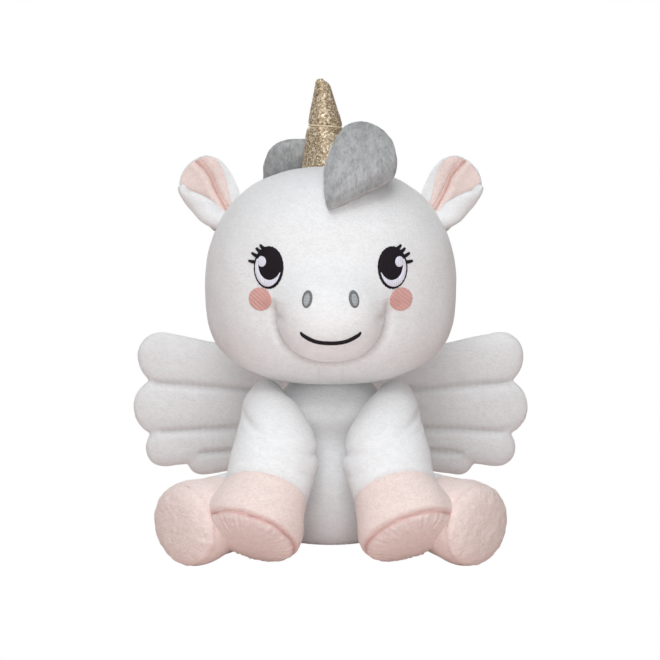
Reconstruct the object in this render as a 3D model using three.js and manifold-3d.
// A plush unicorn that sits: a stuffed head, a torso on a flat seat, four legs, two wings, a mane, a horn
// and a tail. Each sewn piece of fabric is its own shell, and each filling is its own solid inside it.
// Millimetres, +Z up. The toy faces -Y, so its own left is +X. The origin is the middle of the seat's
// underside.
import * as THREE from "three";
import { mergeVertices } from "three/addons/utils/BufferGeometryUtils.js";
import Module from "manifold-3d";

const wasm = await Module();
wasm.setup();

// ---------------------------------------------------------------- driving dimensions

const WALL = 1.6; // pile fabric with its backing
const THIN = 1.2; // fabric of the wings, the seat and the pellet bag
const GAP = 0.4; // between two pieces that touch
const THREAD = 0.8; // height of an embroidered patch above the fabric

const TORSO = { height: 82, bellyRadius: 38, bellyHeight: 24, seatRadius: 27, neckHole: 11 };
const NECK = { domeRadius: 27, clearance: 1.5, sink: 6.5, wadRadius: 13 };
const HEAD = { width: 119.6, depth: 106, rise: 60, drop: 42.5, forward: 5.5, crown: 2.4, jaw: 2.65 };
const MUZZLE = { width: 52.6, depth: 60, height: 45, forward: 38.5, drop: 5 };

const EYE = { width: 13.8, height: 19, x: 27.9, up: 16.3, outline: 0.9 };
const CHEEK = { diameter: 10.4, x: 31.7, up: 1.9 };
const NOSTRIL = { width: 4.4, height: 7.4, x: 10.2, up: 3.9, lean: 12 };
const MOUTH = { width: 26.2, drop: 11, sag: 4.2, stroke: 1.4 };

const HORN = { baseRadius: 12.8, tipRadius: 2.6, length: 42.5, back: 10, sideways: -1.3, lean: 3, tilt: 3.5 };
const HORN_THREAD = { up: 19.5, radius: 0.5 };
const EAR = { length: 36, width: 24, thickness: 2.0, lining: 1.8, cup: 5, lean: 36, up: 37.5, sink: 4 };

const FRONT_LEG = {
  beyondDome: 4, // the top of the seam where the leg is sewn on: outside the dome of the neck,
  belowTop: 10, // under the top of the torso
  forward: 12, // and in front of its middle
  sleeve: [[0, 2, 0], [-1, -8, -7], [-4, -24, -14.5]], // from the top of that seam
  path: [[25.5, -51, 48], [29, -62, 34], [34, -71.5, 20.5], [36.5, -79, 6.5]],
  radii: [[7, 6], [13, 11], [17, 15.5], [20, 18], [19.3, 18], [21.6, 20], [20.5, 18.5]],
  soleAt: [36.5, -71, 18],
  soleNormal: [0.33, -0.68, -0.65],
  cuff: 19,
  padRadius: 19.8,
  padCrown: 4.5,
  inward: 0.65, // how much the leg turns inwards as it is raised
};
const REAR_LEG = {
  hip: [37, -8, 21], // the outer end of the seam where the leg is sewn to the torso
  path: [[22, -10, 21], [34, -24, 20.3], [46, -39, 19.6], [57, -53, 19], [67.5, -66, 18.8], [75, -76, 18.8]],
  radii: [[11, 12], [15, 16], [17.5, 17.8], [19.4, 18.5], [19.6, 18.7], [18, 17.8]],
  soleAt: [65.5, -64, 18.8],
  soleNormal: [0.7, -0.71, -0.02],
  cuff: 25,
  padRadius: 19.2,
  padCrown: 4.5,
};
const WING = { thickness: 9, rootX: 12, behindBelly: 3.5, sweep: 3 };
// Each feather runs from the wing's root to its rounded tip. The sizes are the height of its root, the height
// and the reach of its tip, and half its width.
const FEATHERS = [
  { root: 69, tip: 80, reach: 98, half: 15 },
  { root: 54, tip: 54, reach: 100.5, half: 16 },
  { root: 41, tip: 33, reach: 94.5, half: 11.2 },
  { root: 33, tip: 26.5, reach: 73, half: 8.8 },
];
// Each lobe of the mane runs from the point where its seam ends to the middle of its round top, both given
// from the middle of the head.
const LOBES = [
  { name: "forelock", tip: [-1, -43.5, 42], top: [19.5, -17.5, 80], width: 35, thickness: 18, swing: 1 },
  { name: "crest", tip: [-3, 32.5, 49], top: [-24, 14.5, 71], width: 32, thickness: 17, swing: -1 },
  { name: "mane_upper", tip: [-4, 47.5, 18], top: [13, 47.5, 49], width: 28, thickness: 16, swing: -1 },
  { name: "mane_lower", tip: [4, 49.5, -14], top: [-13, 55.5, 19], width: 27, thickness: 16, swing: -1 },
];
const TAIL = { length: 47, width: 19, thickness: 15, height: 21 };
const PELLETS = { radius: 22, height: 24 };
const LABEL = { width: 12, length: 20, thickness: 0.6 };

// How far each joint turns, in degrees. The record holds the same ranges.
const SWING = { frontLeg: 12, rearLeg: 18, ear: 20, lobe: 10, tail: 18 };

// ---------------------------------------------------------------- places worked out from them

const neckPivot = new THREE.Vector3(0, 0, TORSO.height - NECK.domeRadius);
const headCentre = new THREE.Vector3(0, -HEAD.forward, TORSO.height - NECK.sink + HEAD.drop);
const muzzleCentre = headCentre.clone().add(new THREE.Vector3(0, -MUZZLE.forward, -MUZZLE.drop));
const headHalf = { x: HEAD.width / 2, y: HEAD.depth / 2 };
const UP = new THREE.Vector3(0, 0, 1);
const SIDES = [["left", 1], ["right", -1]]; // the toy's own left and right
const BIG = 400; // longer than the toy, for boxes that cut it
const ROUND = 16; // segments round a big shape
const FINE = 10; // segments round a limb

// ---------------------------------------------------------------- geometry

function closed(geometry) {
  const bare = geometry.clone();
  bare.deleteAttribute("normal");
  bare.deleteAttribute("uv");
  return mergeVertices(bare, 1e-3);
}

function volumeOf(geometry) {
  const p = geometry.attributes.position;
  const corners = [new THREE.Vector3(), new THREE.Vector3(), new THREE.Vector3()];
  let sum = 0;
  for (let i = 0; i < geometry.index.count; i += 3) {
    corners.forEach((v, k) => v.fromBufferAttribute(p, geometry.index.getX(i + k)));
    sum += corners[0].dot(corners[1].clone().cross(corners[2])) / 6;
  }
  return sum;
}

// A manifold-3d solid of a closed three.js geometry, its faces pointing out.
function solid(geometry) {
  const g = closed(geometry);
  const faces = new Uint32Array(g.index.array);
  if (volumeOf(g) < 0) {
    for (let i = 0; i < faces.length; i += 3) [faces[i + 1], faces[i + 2]] = [faces[i + 2], faces[i + 1]];
  }
  const mesh = new wasm.Mesh({ numProp: 3, vertProperties: g.attributes.position.array, triVerts: faces });
  return new wasm.Manifold(mesh);
}

// The same shape with its surface moved out by a distance, or in where that is negative.
function grow(geometry, distance) {
  const g = closed(geometry);
  const outward = Math.sign(volumeOf(g));
  g.computeVertexNormals();
  const { position, normal } = g.attributes;
  for (let i = 0; i < position.count; i++) {
    const step = distance * outward;
    position.setXYZ(
      i,
      position.getX(i) + normal.getX(i) * step,
      position.getY(i) + normal.getY(i) * step,
      position.getZ(i) + normal.getZ(i) * step,
    );
  }
  return g;
}

function turnedAbout(geometry, pivot, axis, degrees) {
  const about = new THREE.Matrix4()
    .makeTranslation(pivot)
    .multiply(new THREE.Matrix4().makeRotationAxis(axis, THREE.MathUtils.degToRad(degrees)))
    .multiply(new THREE.Matrix4().makeTranslation(pivot.clone().negate()));
  return geometry.clone().applyMatrix4(about);
}

// Everything on the side of a plane that its normal points to.
function beyond(point, normal) {
  const box = new THREE.BoxGeometry(BIG, BIG, BIG).translate(0, 0, BIG / 2);
  const turn = new THREE.Quaternion().setFromUnitVectors(UP, normal.clone().normalize());
  return solid(box.applyQuaternion(turn).translate(point.x, point.y, point.z));
}

// The biggest body of a cut piece, without the crumbs that a cut leaves.
function wholePiece(cut) {
  return cut.decompose().reduce((a, b) => (b.volume() > a.volume() ? b : a));
}

function joined(solids) {
  return solids.reduce((a, b) => a.add(b));
}

// A round shape on a vertical axis from half an outline, as wide as its radii and stretched front to back.
function lathed(outline, depthShare = 1) {
  return closed(new THREE.LatheGeometry(outline, ROUND)).rotateX(Math.PI / 2).scale(1, depthShare, 1);
}

// A closed skin over rings of points, each with the same number, and a fan over each end.
function skinned(rings) {
  const n = rings[0].length;
  const centre = (ring) => ring.reduce((a, b) => a.add(b), new THREE.Vector3()).divideScalar(n);
  const points = [...rings.flat(), centre(rings[0]), centre(rings.at(-1))];
  const faces = [];
  for (let j = 0; j < n; j++) {
    const k = (j + 1) % n;
    for (let i = 0; i + 1 < rings.length; i++) {
      faces.push(i * n + j, i * n + k, (i + 1) * n + j, i * n + k, (i + 1) * n + k, (i + 1) * n + j);
    }
    const last = (rings.length - 1) * n;
    faces.push(points.length - 2, k, j, points.length - 1, last + j, last + k);
  }
  const g = new THREE.BufferGeometry().setFromPoints(points);
  g.setIndex(faces);
  return g;
}

// A limb: a smooth path with an oval section, its first radius along `across` and its second square to that,
// or the same shape a distance inside it.
function limb(path, radii, across, steps = 7, inset = 0) {
  const line = new THREE.CatmullRomCurve3(path);
  const size = new THREE.CatmullRomCurve3(radii.map(([a, b]) => new THREE.Vector3(a, b, 0)));
  const rings = [];
  for (let i = 0; i <= steps; i++) {
    const at = line.getPoint(i / steps);
    const along = line.getTangent(i / steps);
    const radius = size.getPoint(i / steps).subScalar(inset);
    const side = across.clone().addScaledVector(along, -across.dot(along)).normalize();
    const other = along.clone().cross(side);
    at.addScaledVector(along, inset * (1 - (2 * i) / steps));
    rings.push(ovalRing(at, side.multiplyScalar(radius.x), other.multiplyScalar(radius.y)));
  }
  return skinned(rings);
}

function ovalRing(centre, wide, deep, count = FINE) {
  return Array.from({ length: count }, (_, j) => {
    const turn = (2 * Math.PI * j) / count;
    return centre.clone().addScaledVector(wide, Math.cos(turn)).addScaledVector(deep, Math.sin(turn));
  });
}

// ---------------------------------------------------------------- bodies and materials

const materials = {
  white: new THREE.MeshStandardMaterial({ color: 0xf4f3f1, roughness: 0.95, metalness: 0 }),
  pink: new THREE.MeshStandardMaterial({ color: 0xf2d3cd, roughness: 0.95, metalness: 0 }),
  grey: new THREE.MeshStandardMaterial({ color: 0xb4b6b6, roughness: 0.95, metalness: 0 }),
  gold: new THREE.MeshStandardMaterial({ color: 0xc4a878, roughness: 0.4, metalness: 0.6 }),
  goldThread: new THREE.MeshStandardMaterial({ color: 0xe6d2a8, roughness: 0.5, metalness: 0.2 }),
  black: new THREE.MeshStandardMaterial({ color: 0x1d191c, roughness: 0.6, metalness: 0 }),
  eyeWhite: new THREE.MeshStandardMaterial({ color: 0xebe9f4, roughness: 0.6, metalness: 0 }),
  blush: new THREE.MeshStandardMaterial({ color: 0xdd9f95, roughness: 0.6, metalness: 0 }),
  nostril: new THREE.MeshStandardMaterial({ color: 0x8d9090, roughness: 0.6, metalness: 0 }),
  wadding: new THREE.MeshStandardMaterial({ color: 0xf8f8f6, roughness: 1, metalness: 0 }),
  calico: new THREE.MeshStandardMaterial({ color: 0xe8e2d4, roughness: 0.9, metalness: 0 }),
  pellets: new THREE.MeshStandardMaterial({ color: 0xdfe3e6, roughness: 0.5, metalness: 0 }),
};

// A body is a group at the point that it turns about, so its pieces are placed from there.
function body(name, origin, parent) {
  const group = new THREE.Group();
  group.name = name;
  group.userData.origin = origin;
  group.position.copy(origin);
  if (parent) {
    group.position.sub(parent.userData.origin);
    parent.add(group);
  }
  return group;
}

function piece(group, name, shape, material) {
  const { vertProperties, triVerts, numProp } = wholePiece(shape).getMesh();
  const positions = new Float32Array((vertProperties.length / numProp) * 3);
  for (let i = 0; i < positions.length / 3; i++) {
    positions.set(vertProperties.subarray(i * numProp, i * numProp + 3), i * 3);
  }
  const geometry = new THREE.BufferGeometry();
  geometry.setAttribute("position", new THREE.BufferAttribute(positions, 3));
  geometry.setIndex(new THREE.BufferAttribute(new Uint32Array(triVerts), 1));
  const { x, y, z } = group.userData.origin;
  geometry.translate(-x, -y, -z);
  geometry.computeVertexNormals();
  const mesh = new THREE.Mesh(geometry, material);
  mesh.name = name;
  group.add(mesh);
}

// ---------------------------------------------------------------- torso

const unicorn = body("plush_unicorn", new THREE.Vector3(0, 0, 0));

function torsoOutline() {
  const { bellyRadius, bellyHeight, seatRadius, height } = TORSO;
  const dome = NECK.domeRadius;
  const path = new THREE.Path();
  path.moveTo(0, 0);
  path.lineTo(seatRadius, 0);
  path.bezierCurveTo(seatRadius + 6, 0, bellyRadius, bellyHeight * 0.35, bellyRadius, bellyHeight);
  path.bezierCurveTo(bellyRadius, bellyHeight + 18, dome, neckPivot.z - 14, dome, neckPivot.z);
  path.absarc(0, neckPivot.z, dome, 0, Math.PI / 2);
  const points = path.getPoints(3);
  points.at(-1).set(0, height);
  return points;
}

const torso = lathed(torsoOutline());
const torsoSolid = solid(torso);
const torsoKeepOut = grow(torso, GAP);
const torsoInside = solid(grow(torso, -WALL));

function upright(radius, from, to) {
  const height = to - from;
  const rod = new THREE.CylinderGeometry(radius, radius, height, ROUND).rotateX(Math.PI / 2);
  return rod.translate(0, 0, from + height / 2);
}

const seatOpening = solid(upright(TORSO.seatRadius - THIN, -1, WALL + 1));
const neckOpening = solid(upright(TORSO.neckHole, neckPivot.z, TORSO.height + 5));
const bagFloor = THIN + 2 * GAP;
const bagTop = bagFloor + PELLETS.height;
const pelletBag = upright(PELLETS.radius, bagFloor, bagTop);
const bagInside = upright(PELLETS.radius - THIN, bagFloor + THIN, bagTop - THIN);
const bagNeck = upright(4, bagTop - 2 * THIN, bagTop + 5);
const neckWad = new THREE.SphereGeometry(NECK.wadRadius, 12, 7).rotateX(Math.PI / 2);
neckWad.translate(neckPivot.x, neckPivot.y, neckPivot.z);

const torsoShell = torsoSolid.subtract(torsoInside);
piece(unicorn, "torso_cover", torsoShell.subtract(seatOpening).subtract(neckOpening), materials.white);
piece(unicorn, "seat_panel", solid(upright(TORSO.seatRadius - THIN - GAP, 0, THIN)), materials.white);
piece(
  unicorn,
  "torso_stuffing",
  solid(grow(torso, -WALL - GAP))
    .subtract(beyond(new THREE.Vector3(0, 0, THIN + GAP), UP.clone().negate()))
    .subtract(solid(grow(pelletBag, GAP)))
    .subtract(solid(grow(neckWad, NECK.clearance)))
    .subtract(neckOpening),
  materials.wadding,
);
piece(
  unicorn,
  "pellet_bag",
  solid(pelletBag).subtract(solid(bagInside)).subtract(solid(bagNeck)),
  materials.calico,
);
piece(
  unicorn,
  "pellet_fill",
  solid(upright(PELLETS.radius - THIN - GAP, bagFloor + THIN + GAP, bagTop - THIN - 2 * GAP)),
  materials.pellets,
);

// The care label is sewn into the torso's back seam, low on the left, and folds flat against it.
const labelAngle = 52;
const label = new THREE.BoxGeometry(LABEL.width, LABEL.thickness, LABEL.length);
label.translate(0, TORSO.bellyRadius + GAP + LABEL.thickness, TORSO.bellyHeight);
label.rotateZ(THREE.MathUtils.degToRad(-labelAngle));
piece(unicorn, "care_label", solid(label).subtract(solid(torsoKeepOut)), materials.calico);

// ---------------------------------------------------------------- neck and head

const neck = body("neck", neckPivot, unicorn);
piece(neck, "neck_wad", solid(neckWad), materials.wadding);

const head = body("head", neckPivot, neck);

// The head's outline is flatter than a circle, and flatter still below: a power of sine and cosine.
function headOutline() {
  const steps = 11;
  return Array.from({ length: steps + 1 }, (_, i) => {
    const turn = -Math.PI / 2 + (Math.PI * i) / steps;
    const below = turn < 0;
    const power = 2 / (below ? HEAD.jaw : HEAD.crown);
    const out = i === 0 || i === steps ? 0 : headHalf.x * Math.cos(turn) ** power;
    const up = (below ? -HEAD.drop : HEAD.rise) * Math.abs(Math.sin(turn)) ** power;
    return new THREE.Vector2(out, up);
  });
}

const skull = lathed(headOutline(), HEAD.depth / HEAD.width);
skull.translate(headCentre.x, headCentre.y, headCentre.z);
const neckSocket = new THREE.SphereGeometry(NECK.domeRadius + NECK.clearance, ROUND, 9).rotateX(Math.PI / 2);
neckSocket.translate(neckPivot.x, neckPivot.y, neckPivot.z);
const socketSolid = solid(neckSocket);
const skullSolid = solid(skull).subtract(socketSolid);
const skullKeepOut = solid(grow(skull, GAP));

piece(head, "head_cover", skullSolid.subtract(solid(grow(skull, -WALL))), materials.white);
piece(
  head,
  "head_stuffing",
  solid(grow(skull, -WALL - GAP)).subtract(solid(grow(neckSocket, WALL))),
  materials.wadding,
);

const muzzle = new THREE.SphereGeometry(1, ROUND, 9).rotateX(Math.PI / 2);
muzzle.scale(MUZZLE.width / 2, MUZZLE.depth / 2, MUZZLE.height / 2);
muzzle.translate(muzzleCentre.x, muzzleCentre.y, muzzleCentre.z);
piece(
  head,
  "muzzle_cover",
  solid(muzzle).subtract(solid(grow(muzzle, -WALL))).subtract(skullKeepOut),
  materials.white,
);
piece(
  head,
  "muzzle_stuffing",
  solid(grow(muzzle, -WALL - GAP)).subtract(solid(grow(skull, 2 * GAP))),
  materials.wadding,
);

// ---------------------------------------------------------------- embroidered face

// A patch of thread: outlines seen from the front, laid on a surface as a layer that starts `low` above it.
function patch(surface, outlines, low = GAP) {
  surface.computeBoundingBox();
  const middle = surface.boundingBox.getCenter(new THREE.Vector3());
  const prisms = outlines.map((outline) => {
    const settings = { depth: BIG / 2, bevelEnabled: false, curveSegments: 7 };
    const prism = new THREE.ExtrudeGeometry(outline, settings);
    return solid(prism.rotateX(Math.PI / 2).translate(0, middle.y, 0));
  });
  return joined(prisms).intersect(solid(grow(surface, low + THREAD))).subtract(solid(grow(surface, low)));
}

function oval(x, z, width, height, lean = 0) {
  const shape = new THREE.Shape();
  shape.absellipse(x, z, width / 2, height / 2, 0, 2 * Math.PI, false, THREE.MathUtils.degToRad(lean));
  return shape;
}

function stroke(points, width) {
  const curve = new THREE.SplineCurve(points).getPoints(10);
  const edge = (sign) =>
    curve.map((p, i) => {
      const next = curve[Math.min(i + 1, curve.length - 1)];
      const along = next.clone().sub(curve[Math.max(i - 1, 0)]).normalize();
      return new THREE.Vector2(p.x - (along.y * sign * width) / 2, p.y + (along.x * sign * width) / 2);
    });
  return new THREE.Shape([...edge(-1), ...edge(1).reverse()]);
}

// The white of the eye: a crescent along its lower edge, from the outer side round to the inner side.
function crescent(side, x, z) {
  const half = { x: EYE.width / 2 - EYE.outline, z: EYE.height / 2 - EYE.outline };
  const steps = 12;
  const at = (i, share, shift) => {
    const turn = 0.62 - (Math.PI * 1.14 * i) / steps;
    const out = side * Math.cos(turn) * half.x * share;
    return new THREE.Vector2(x + out, z + shift + Math.sin(turn) * half.z * share);
  };
  const lower = Array.from({ length: steps + 1 }, (_, i) => at(i, 1, 0));
  const upper = Array.from({ length: steps + 1 }, (_, i) => {
    return at(i, 0.99 - 0.36 * Math.sin((Math.PI * i) / steps), 0.4);
  });
  return new THREE.Shape([...lower, ...upper.reverse()]);
}

for (const [name, side] of SIDES) {
  const eyeX = side * EYE.x;
  const eyeZ = headCentre.z + EYE.up;
  const lashes = [12, 34, 54, 72].map((degrees) => {
    const turn = THREE.MathUtils.degToRad(degrees);
    const at = (share) => {
      return new THREE.Vector2(
        eyeX + side * Math.cos(turn) * (EYE.width / 2) * share,
        eyeZ + Math.sin(turn) * (EYE.height / 2) * share,
      );
    };
    return stroke([at(0.9), at(1.18), at(1.42)], EYE.outline);
  });
  const eyeball = oval(eyeX, eyeZ, EYE.width, EYE.height);
  piece(head, `eye_${name}`, patch(skull, [eyeball, ...lashes]), materials.black);

  const glint = oval(eyeX + side * 3.1, eyeZ + 3, 3.8, 4.4);
  const white = patch(skull, [crescent(side, eyeX, eyeZ), glint], 2 * GAP + THREAD);
  piece(head, `eye_white_${name}`, white, materials.eyeWhite);

  const cheek = oval(side * CHEEK.x, headCentre.z + CHEEK.up, CHEEK.diameter, CHEEK.diameter);
  piece(head, `cheek_${name}`, patch(skull, [cheek]).subtract(solid(grow(muzzle, GAP))), materials.blush);
  const nostril = oval(
    side * NOSTRIL.x,
    headCentre.z + NOSTRIL.up,
    NOSTRIL.width,
    NOSTRIL.height,
    side * NOSTRIL.lean,
  );
  piece(head, `nostril_${name}`, patch(muzzle, [nostril]), materials.nostril);
}

const mouthZ = headCentre.z - MOUTH.drop;
const smile = [-1, -0.5, 0, 0.5, 1].map(
  (share) => new THREE.Vector2((share * MOUTH.width) / 2, mouthZ - MOUTH.sag * (1 - share * share)),
);
piece(head, "mouth", patch(muzzle, [stroke(smile, MOUTH.stroke)]), materials.black);

// ---------------------------------------------------------------- horn

function hornOutline(inset) {
  const { baseRadius, tipRadius, length } = HORN;
  const path = new THREE.Path();
  path.moveTo(0, -6);
  path.lineTo(baseRadius - inset, -6);
  path.lineTo(baseRadius - inset, 0);
  path.lineTo(tipRadius - inset * 0.6, length - tipRadius);
  path.absarc(0, length - tipRadius - inset * 0.4, tipRadius - inset * 0.6, 0, Math.PI / 2);
  return path.getPoints(3);
}

// The head's surface straight above a place, from the same powers as its outline.
function crownHeight(x, y) {
  const out = Math.hypot(x / headHalf.x, (y - headCentre.y) / headHalf.y);
  return headCentre.z + HEAD.rise * Math.max(0, 1 - out ** HEAD.crown) ** (1 / HEAD.crown);
}

const hornBase = new THREE.Vector3(HORN.sideways, headCentre.y + HORN.back, 0);
hornBase.z = crownHeight(hornBase.x, hornBase.y);

function hornPlaced(geometry) {
  const lean = THREE.MathUtils.degToRad(-HORN.lean);
  const tilt = THREE.MathUtils.degToRad(-HORN.tilt);
  return geometry.rotateX(lean).rotateY(tilt).translate(hornBase.x, hornBase.y, hornBase.z);
}

const horn = hornPlaced(lathed(hornOutline(0)));
const hornSolid = solid(horn).subtract(skullKeepOut);
piece(
  head,
  "horn_cover",
  hornSolid.subtract(solid(hornPlaced(lathed(hornOutline(THIN))))),
  materials.gold,
);
piece(
  head,
  "horn_stuffing",
  solid(hornPlaced(lathed(hornOutline(THIN + GAP)))).subtract(solid(grow(skull, 2 * GAP))),
  materials.wadding,
);
function hornRadiusAt(up) {
  const taper = (HORN.tipRadius - HORN.baseRadius) / (HORN.length - HORN.tipRadius);
  return HORN.baseRadius + taper * up;
}

const threadRing = new THREE.TorusGeometry(
  hornRadiusAt(HORN_THREAD.up - HORN_THREAD.radius) + GAP + HORN_THREAD.radius,
  HORN_THREAD.radius,
  6,
  ROUND,
);
threadRing.translate(0, 0, HORN_THREAD.up);
piece(head, "horn_thread", solid(hornPlaced(threadRing)), materials.goldThread);

// ---------------------------------------------------------------- ears

// An ear is two cupped layers, white behind and pink in front, narrower where they are sewn to the head.
function earLayer(side, from, to) {
  const steps = 8;
  const rings = [];
  for (let i = 0; i <= steps; i++) {
    const share = Math.sin((Math.PI / 2) * (i / steps));
    const half = (EAR.width / 2) * earWidth(share);
    const cup = EAR.cup * (1 - 0.55 * share);
    const lay = (place, level) => {
      const thin = Math.abs(level) > GAP ? Math.max(0.5, 1 - place ** 6) : 1;
      const forward = cup * place ** 2 + level * thin;
      return new THREE.Vector3(side * place * half, -forward, share * EAR.length);
    };
    const places = Array.from({ length: 7 }, (_, k) => -1 + k / 3);
    const back = places.map((place) => lay(place, from));
    const front = places.toReversed().map((place) => lay(place, to));
    rings.push([...back, ...front]);
  }
  return skinned(rings);
}

function earWidth(share) {
  const widest = 0.62;
  const base = 0.52;
  if (share < widest) return base + (1 - base) * Math.sin(((share / widest) * Math.PI) / 2);
  return Math.sqrt(Math.max(0.02, 1 - ((share - widest) / (1.01 - widest)) ** 2));
}

for (const [name, side] of SIDES) {
  const out = Math.max(0, 1 - (EAR.up / HEAD.rise) ** HEAD.crown) ** (1 / HEAD.crown);
  const root = new THREE.Vector3(side * headHalf.x * out, headCentre.y + 3, headCentre.z + EAR.up);
  const ear = body(`ear_${name}`, root, head);
  const lean = THREE.MathUtils.degToRad(EAR.lean);
  const along = new THREE.Vector3(side * Math.sin(lean), 0, Math.cos(lean));
  const start = root.clone().addScaledVector(along, -EAR.sink);
  const hinge = along.clone().cross(new THREE.Vector3(0, 1, 0)).normalize();
  const placed = (geometry) => solid(geometry.rotateY(side * lean).translate(start.x, start.y, start.z));
  const turns = [-SWING.ear, 0, SWING.ear];
  const clear = joined(turns.map((turn) => solid(turnedAbout(grow(skull, GAP), root, hinge, turn))));
  const back = placed(earLayer(side, -EAR.thickness, 0));
  const lining = placed(earLayer(side, GAP, GAP + EAR.lining));
  piece(ear, `ear_${name}_back`, back.subtract(clear), materials.white);
  piece(ear, `ear_${name}_lining`, lining.subtract(clear), materials.pink);
}

// ---------------------------------------------------------------- mane

// A lobe of the mane is a stuffed teardrop, narrow at its tip and round at its top, or the same shape a
// distance inside it.
function lobeShape({ tip, top, width, thickness }, inset = 0) {
  const from = new THREE.Vector3(...tip).add(headCentre);
  const along = new THREE.Vector3(...top).add(headCentre).sub(from);
  const outward = from.clone().sub(headCentre);
  const across = along.clone().cross(outward).normalize();
  const through = across.clone().cross(along).normalize();
  const steps = 7;
  const rings = [];
  for (let i = 0; i <= steps; i++) {
    const turn = (Math.PI * i) / steps;
    const whole = (1 - Math.cos(turn)) / 2;
    const swell = Math.sin(turn) ** 0.75 * (0.55 + 0.45 * whole) * 1.08;
    const share = whole + ((1 - 2 * whole) * 1.6 * inset) / along.length();
    const at = from.clone().addScaledVector(along, share);
    const wide = across.clone().multiplyScalar(Math.max(0.4, (width / 2) * swell - inset));
    const deep = through.clone().multiplyScalar(Math.max(0.4, (thickness / 2) * swell - inset));
    rings.push(ovalRing(at, wide, deep, 9));
  }
  return skinned(rings);
}

for (const spec of LOBES) {
  const foot = new THREE.Vector3(...spec.tip).add(headCentre);
  const lobe = body(spec.name, foot, head);
  const outer = lobeShape(spec);
  const heads = [0, SWING.lobe].map((turn) => {
    return solid(turnedAbout(grow(skull, GAP), foot, new THREE.Vector3(spec.swing, 0, 0), -turn));
  });
  const clear = joined([...heads, solid(grow(horn, GAP + 0.2))]);
  const rind = solid(outer).subtract(solid(lobeShape(spec, WALL)));
  piece(lobe, `${spec.name}_cover`, rind.subtract(clear), materials.grey);
  piece(lobe, `${spec.name}_stuffing`, solid(lobeShape(spec, WALL + GAP)).subtract(clear), materials.wadding);
}

// ---------------------------------------------------------------- legs

const vector = ([x, y, z], side) => new THREE.Vector3(side * x, y, z);

// A leg is a white sleeve, a pink hoof with a crowned sole pad, and a filling from end to end. It gives back
// the room that it needs, so the leg beside it can be shaped round it.
function leg(name, side, spec, pivot, axis, swing, across, keepOut) {
  const group = body(name, pivot, unicorn);
  const path = spec.path.map((p) => vector(p, side));
  const outer = limb(path, spec.radii, across);
  const inner = grow(outer, -WALL);
  const filling = grow(outer, -WALL - GAP);
  const sole = vector(spec.soleAt, side);
  const normal = vector(spec.soleNormal, side).normalize();
  const cuffAt = sole.clone().addScaledVector(normal, -spec.cuff);
  const soleFront = beyond(sole, normal);
  const cuffFront = beyond(cuffAt, normal);
  const behindCuff = beyond(cuffAt.clone().addScaledVector(normal, GAP), normal.clone().negate());
  const torsos = [0, swing].map((turn) => solid(turnedAbout(torsoKeepOut, pivot, axis, -turn)));
  const floor = beyond(new THREE.Vector3(), UP.clone().negate());
  const clear = joined([...torsos, soleFront, floor, ...keepOut]);
  const rind = solid(outer).subtract(solid(inner)).subtract(clear);
  piece(group, `${name}_sleeve`, rind.subtract(cuffFront), materials.white);
  piece(group, `${name}_hoof`, rind.subtract(behindCuff), materials.pink);
  piece(group, `${name}_stuffing`, solid(filling).subtract(clear), materials.wadding);

  const pad = new THREE.SphereGeometry(1, ROUND, 6).rotateX(Math.PI / 2);
  pad.scale(spec.padRadius, spec.padRadius, spec.padCrown);
  pad.applyQuaternion(new THREE.Quaternion().setFromUnitVectors(UP, normal));
  pad.translate(sole.x, sole.y, sole.z);
  const padBack = beyond(sole.clone().addScaledVector(normal, GAP), normal.clone().negate());
  const padClear = joined([padBack, floor, ...keepOut]);
  piece(group, `${name}_sole`, solid(pad).subtract(padClear), materials.pink);
  return joined([solid(grow(outer, GAP)).subtract(beyond(sole, normal)), solid(grow(pad, GAP))]);
}

for (const [name, side] of SIDES) {
  const { beyondDome, belowTop, forward, sleeve, path } = FRONT_LEG;
  const top = [NECK.domeRadius + beyondDome, -forward, TORSO.height - belowTop];
  const shoulder = vector(top, side);
  const spec = { ...FRONT_LEG, path: [...sleeve.map((point) => point.map((p, i) => p + top[i])), ...path] };
  const raise = new THREE.Vector3(-1, 0, -FRONT_LEG.inward * side).normalize();
  const wide = new THREE.Vector3(1, 0, 0);
  const frontLeg = leg(`front_leg_${name}`, side, spec, shoulder, raise, SWING.frontLeg, wide, []);

  const hip = vector(REAR_LEG.hip, side);
  const splay = new THREE.Vector3(0, 0, side);
  const slanted = new THREE.Vector3(side * 0.77, 0.64, 0);
  leg(`rear_leg_${name}`, side, REAR_LEG, hip, splay, SWING.rearLeg, slanted, [frontLeg]);
}

// ---------------------------------------------------------------- wings

const wingBack = TORSO.bellyRadius + WING.behindBelly;

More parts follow.
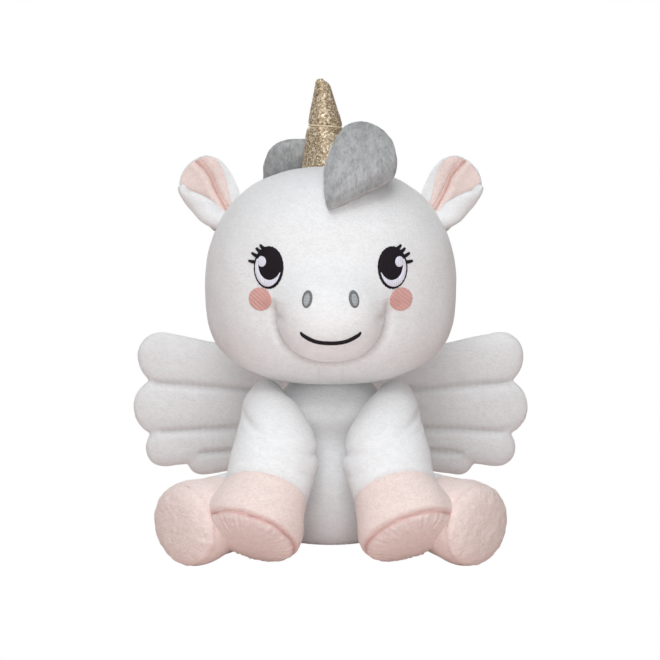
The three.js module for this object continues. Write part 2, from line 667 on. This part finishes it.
// A feather is a flat stuffed finger from the wing's root to a round tip.
function feather(side, { root, tip, reach, half }, inset) {
  const steps = 5;
  const length = reach - WING.rootX;
  const rings = [];
  for (let i = 0; i <= steps; i++) {
    const share = Math.sin((Math.PI / 2) * (i / steps));
    const out = WING.rootX + inset * (1 - share) + (length - inset) * share;
    const toTip = Math.max(0, (out - (reach - half)) / half);
    const round = Math.sqrt(Math.max(0.01, 1 - Math.min(1, toTip) ** 2));
    const wide = half * (0.6 + 0.4 * share) * round - inset;
    const thick = (WING.thickness / 2) * (0.75 + 0.25 * round) * round ** 0.5 - inset;
    const at = new THREE.Vector3(side * out, wingBack + WING.sweep * share, root + (tip - root) * share);
    const up = new THREE.Vector3(0, 0, Math.max(0.4, wide));
    rings.push(ovalRing(at, up, new THREE.Vector3(0, Math.max(0.3, thick), 0), 6));
  }
  return solid(skinned(rings));
}

for (const [name, side] of SIDES) {
  const root = new THREE.Vector3(side * WING.rootX, wingBack, FEATHERS[1].root);
  const wing = body(`wing_${name}`, root, unicorn);
  const whole = (inset) => joined(FEATHERS.map((f) => feather(side, f, inset)));
  const rind = whole(0).subtract(whole(THIN));
  const seamNormal = new THREE.Vector3(-side * WING.sweep, FEATHERS[1].reach - WING.rootX, 0).normalize();
  const front = beyond(root.clone().addScaledVector(seamNormal, -GAP / 2), seamNormal.clone().negate());
  const back = beyond(root.clone().addScaledVector(seamNormal, GAP / 2), seamNormal);
  piece(wing, `wing_${name}_front`, rind.intersect(front), materials.white);
  piece(wing, `wing_${name}_back`, rind.intersect(back), materials.white);
  piece(wing, `wing_${name}_wadding`, whole(THIN + GAP), materials.wadding);
}

// ---------------------------------------------------------------- tail

const tailRoot = new THREE.Vector3(0, TORSO.bellyRadius - 1, TAIL.height);
const tail = body("tail", tailRoot, unicorn);
const tailPath = [
  [0, -4, 0],
  [2, 8, 3],
  [6, TAIL.length * 0.45, 2],
  [11, TAIL.length * 0.8, -5],
  [14, TAIL.length, -10],
].map(([x, y, z]) => new THREE.Vector3(x, y, z).add(tailRoot));
const tailHalf = [TAIL.width / 2, TAIL.thickness / 2];
const tailRadii = [0.45, 0.75, 1, 0.85, 0.35].map((share) => tailHalf.map((half) => half * share));
const tailInside = (inset) => solid(limb(tailPath, tailRadii, new THREE.Vector3(1, 0, 0), 6, inset));
const tailTurns = [-SWING.tail, 0, SWING.tail];
const tailClear = joined(tailTurns.map((turn) => solid(turnedAbout(torsoKeepOut, tailRoot, UP, turn))));
piece(tail, "tail_cover", tailInside(0).subtract(tailInside(WALL)).subtract(tailClear), materials.grey);
piece(tail, "tail_stuffing", tailInside(WALL + GAP).subtract(tailClear), materials.wadding);

export default unicorn;
